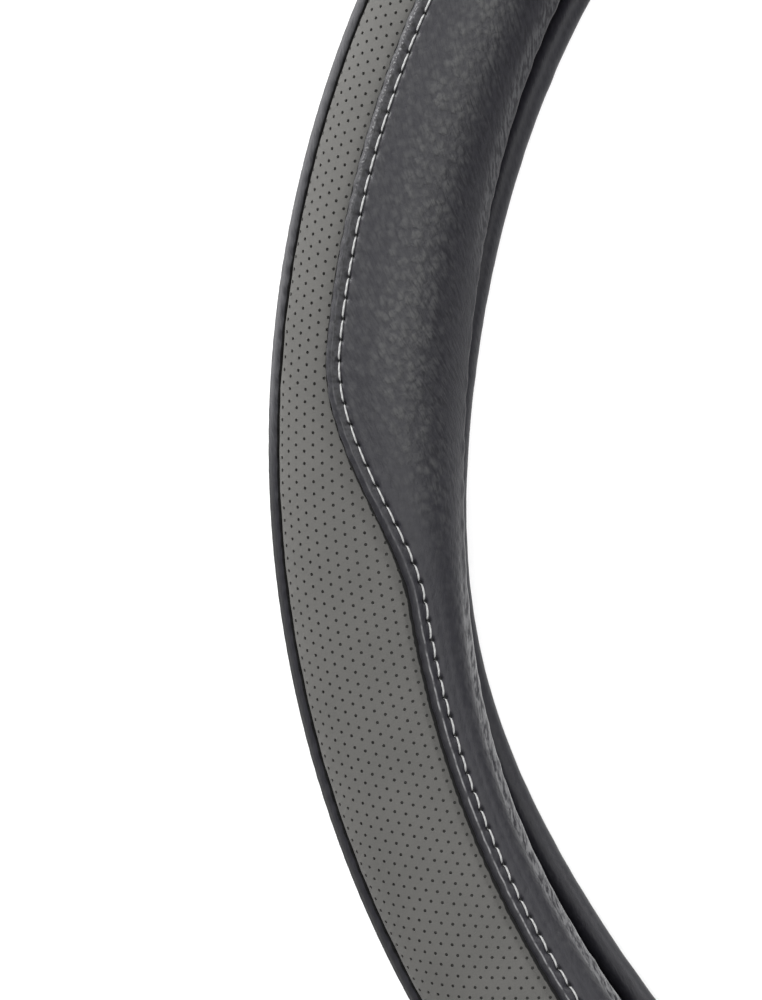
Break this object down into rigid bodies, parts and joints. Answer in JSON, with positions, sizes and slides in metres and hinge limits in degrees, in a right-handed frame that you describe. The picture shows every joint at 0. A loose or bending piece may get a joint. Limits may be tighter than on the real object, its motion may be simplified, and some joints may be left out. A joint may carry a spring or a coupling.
{
  "type": "steering wheel cover",
  "caption": "Leather steering wheel cover for a 380 mm wheel: grained black and perforated grey panels, white topstitch, over a moulded rubber ring.",
  "frame": {"origin": "on the axis of the ring, at the level of its lowest point, with the cover lying on its back", "axes": "+Z along the ring's axis, out of its front face towards the driver; +Y towards 12 o'clock; -X towards 9 o'clock"},
  "size_m": [0.38, 0.38, 0.0316],
  "materials": {
    "black_leather": "litchi grained, matt to satin",
    "grey_leather": "smooth, perforated, matt",
    "thread": "twisted polyester sewing thread",
    "ring_rubber": "moulded, matt, ribbed"
  },
  "bodies": {
    "root": {"grip_ring": "ring_rubber", "back_panel_left": "black_leather", "perforated_panel_left": "grey_leather", "front_panel_left": "black_leather", "topstitch_left": "thread", "back_panel_right": "black_leather", "perforated_panel_right": "grey_leather", "front_panel_right": "black_leather", "topstitch_right": "thread"}
  },
  "joints": []
}
